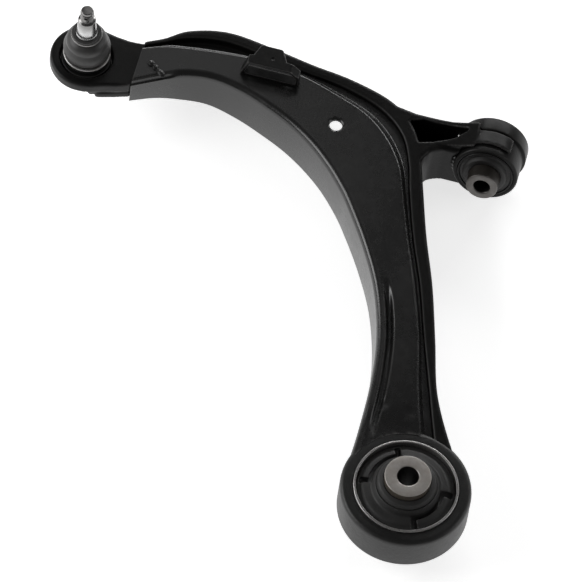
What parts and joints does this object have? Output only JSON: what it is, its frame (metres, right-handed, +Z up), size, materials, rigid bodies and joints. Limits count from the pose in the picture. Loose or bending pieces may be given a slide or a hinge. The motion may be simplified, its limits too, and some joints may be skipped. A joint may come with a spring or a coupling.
{
  "type": "suspension control arm",
  "caption": "L-shaped pressed-steel lower suspension control arm with a booted ball joint, an upright rear bush, a level front bush and a small harness bracket.",
  "frame": {"origin": "middle of the bounding box's base, at rest", "axes": "+Z up along the rear bush axis and the ball joint's housing; +X from the ball joint towards the bushes; +Y from the rear bush towards the front bush, along the swing axis"},
  "size_m": [0.381, 0.3868, 0.1011],
  "materials": {
    "coat": "satin black electrocoat",
    "weld": "electrocoated weld bead",
    "sleeve_steel": "bare drawn steel",
    "spring_steel": "oiled spring steel",
    "bush_rubber": "matt moulded rubber",
    "boot_rubber": "smooth moulded rubber",
    "seat_polymer": "acetal",
    "stud_plating": "bright zinc plating"
  },
  "bodies": {
    "arm": {"main_channel": "coat", "outer_frame": "coat", "ball_joint_carrier": "coat", "harness_bracket": "coat", "nose_weld": "weld", "rear_eye_weld": "weld", "front_eye_weld": "weld", "rear_eye_ring": "coat", "rear_outer_sleeve": "sleeve_steel", "front_eye_tube": "coat", "front_outer_sleeve": "coat", "front_rubber": "bush_rubber", "ball_housing": "coat", "housing_circlip": "spring_steel", "ball_seat": "seat_polymer", "preload_washer": "spring_steel", "housing_cover": "spring_steel", "boot_lower_ring": "spring_steel"},
    "boot": {"dust_boot": "boot_rubber"},
    "boot_neck": {"boot_upper_ring": "spring_steel"},
    "stud": {"ball_stud": "stud_plating"},
    "front_core": {"front_inner_sleeve": "sleeve_steel"},
    "rear_rubber": {"rear_rubber": "bush_rubber"},
    "rear_core": {"rear_inner_sleeve": "sleeve_steel"}
  },
  "joints": [
    {"name": "ball_swing_y", "type": "hinge", "parent": "arm", "child": "boot", "pos_m": [-0.164, 0.14411, 0.0375], "axis": [0, 1, 0], "range_deg": [-16, 16], "deforming": ["dust_boot"]},
    {"name": "ball_swing_x", "type": "hinge", "parent": "boot", "child": "boot_neck", "pos_m": [-0.164, 0.14411, 0.0375], "axis": [0.999, 0, 0.0454], "range_deg": [-16, 16], "deforming": ["dust_boot"]},
    {"name": "ball_spin", "type": "hinge", "parent": "boot_neck", "child": "stud", "pos_m": [-0.164, 0.14411, 0.0375], "axis": [-0.0454, 0, 0.999], "continuous": true},
    {"name": "front_bush_twist", "type": "hinge", "parent": "arm", "child": "front_core", "pos_m": [0.139, 0.14961, 0.029], "axis": [0, -0.9781, 0.2079], "range_deg": [-25, 25], "stiffness_Nm_per_rad": 45},
    {"name": "rear_bush_give", "type": "slide", "parent": "arm", "child": "rear_rubber", "axis": [0.8572, -0.515, 0], "range_m": [-0.003, 0.003], "stiffness_N_per_m": 150000, "deforming": ["rear_rubber"]},
    {"name": "rear_bush_tilt", "type": "hinge", "parent": "rear_rubber", "child": "rear_core", "pos_m": [0.1435, -0.14639, 0.03], "axis": [0, 1, 0], "range_deg": [-10, 10], "stiffness_Nm_per_rad": 60, "deforming": ["rear_rubber"]}
  ]
}
